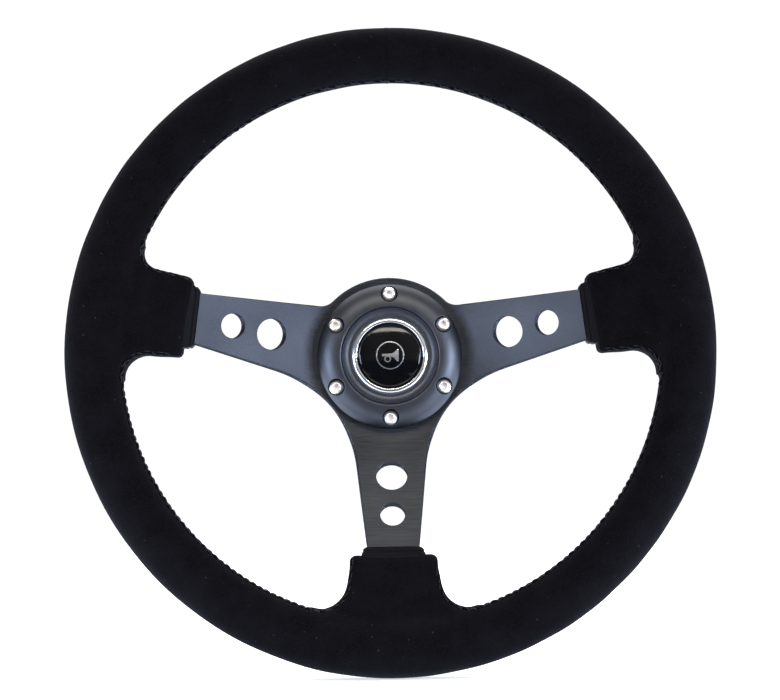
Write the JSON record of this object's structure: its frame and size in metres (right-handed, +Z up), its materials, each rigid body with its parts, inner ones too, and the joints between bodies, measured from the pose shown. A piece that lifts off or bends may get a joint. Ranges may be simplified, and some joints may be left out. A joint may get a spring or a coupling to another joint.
{
  "type": "quick release steering wheel",
  "caption": "Dished suede steering wheel with aluminium spokes and a centre horn button, on a splined quick release with a sliding collar and lock balls.",
  "frame": {"origin": "centre of the column's bolt circle on the quick release's mounting face, on the steering axis", "axes": "+Y along the steering axis away from the driver, +Z up with the bottom spoke pointing down, +X to the driver's right"},
  "size_m": [0.35, 0.128, 0.35],
  "materials": {
    "spoke_anodised": "satin",
    "raw_aluminium": "satin",
    "grip_foam": "matte",
    "suede": "matte",
    "thread": "matte",
    "cuff_leather": "satin",
    "ring_anodised": "satin",
    "screw_steel": "polished",
    "horn_rubber": "satin",
    "bezel_chrome": "polished",
    "cap_plastic": "gloss",
    "badge_metal": "polished",
    "contact_brass": "satin",
    "spring_steel": "satin",
    "nylon": "matte",
    "lead_insulation": "matte",
    "flange_anodised": "satin",
    "sleeve_steel": "satin",
    "collar_anodised": "satin",
    "clip_steel": "satin",
    "column_steel": "satin",
    "ball_steel": "polished"
  },
  "bodies": {
    "column_side": {"column_hub": "column_steel", "socket_insulator": "nylon", "contact_socket": "contact_brass"},
    "wheel": {"spoke_plate": "spoke_anodised", "rim_hoop": "raw_aluminium", "rim_foam": "grip_foam", "rim_cover": "suede", "rim_thread": "thread", "boot_right": "suede", "boot_left": "suede", "boot_bottom": "suede", "cuff_right": "cuff_leather", "cuff_left": "cuff_leather", "cuff_bottom": "cuff_leather", "centre_ring": "ring_anodised", "wheel_screws": "screw_steel", "horn_housing": "horn_rubber", "horn_bezel": "bezel_chrome", "horn_spring": "spring_steel", "horn_fixed_contact": "contact_brass", "horn_base": "nylon", "horn_terminals": "contact_brass", "horn_lead": "lead_insulation", "wheel_flange": "flange_anodised", "lock_sleeve": "sleeve_steel", "pin_insulator": "nylon", "contact_pin": "contact_brass", "collar_spring": "spring_steel", "collar_circlip": "clip_steel"},
    "collar": {"release_collar": "collar_anodised"},
    "horn_button": {"horn_cap": "cap_plastic", "horn_badge": "badge_metal", "horn_moving_contact": "contact_brass"},
    "ball_1": {"lock_ball_1": "ball_steel"},
    "ball_2": {"lock_ball_2": "ball_steel"},
    "ball_3": {"lock_ball_3": "ball_steel"},
    "ball_4": {"lock_ball_4": "ball_steel"},
    "ball_5": {"lock_ball_5": "ball_steel"},
    "ball_6": {"lock_ball_6": "ball_steel"}
  },
  "joints": [
    {"name": "wheel_pull_off", "type": "slide", "parent": "column_side", "child": "wheel", "axis": [0, -1, 0], "range_m": [0, 0.06]},
    {"name": "collar_slide", "type": "slide", "parent": "wheel", "child": "collar", "axis": [0, 1, 0], "range_m": [0, 0.007], "deforming": ["collar_spring"]},
    {"name": "ball_1_move", "type": "slide", "parent": "wheel", "child": "ball_1", "axis": [0, 0, -1], "range_m": [0, 0.00154]},
    {"name": "ball_2_move", "type": "slide", "parent": "wheel", "child": "ball_2", "axis": [0.866, 0, -0.5], "range_m": [0, 0.00154]},
    {"name": "ball_3_move", "type": "slide", "parent": "wheel", "child": "ball_3", "axis": [0.866, 0, 0.5], "range_m": [0, 0.00154]},
    {"name": "ball_4_move", "type": "slide", "parent": "wheel", "child": "ball_4", "axis": [0, 0, 1], "range_m": [0, 0.00154]},
    {"name": "ball_5_move", "type": "slide", "parent": "wheel", "child": "ball_5", "axis": [-0.866, 0, 0.5], "range_m": [0, 0.00154]},
    {"name": "ball_6_move", "type": "slide", "parent": "wheel", "child": "ball_6", "axis": [-0.866, 0, -0.5], "range_m": [0, 0.00154]},
    {"name": "horn_press", "type": "slide", "parent": "wheel", "child": "horn_button", "axis": [0, 1, 0], "range_m": [0, 0.002], "stiffness_N_per_m": 1500, "deforming": ["horn_spring"]}
  ],
  "couplings": [
    {"joint": "ball_1_move", "follows": "collar_slide", "ratio": 0.22},
    {"joint": "ball_2_move", "follows": "collar_slide", "ratio": 0.22},
    {"joint": "ball_3_move", "follows": "collar_slide", "ratio": 0.22},
    {"joint": "ball_4_move", "follows": "collar_slide", "ratio": 0.22},
    {"joint": "ball_5_move", "follows": "collar_slide", "ratio": 0.22},
    {"joint": "ball_6_move", "follows": "collar_slide", "ratio": 0.22}
  ]
}
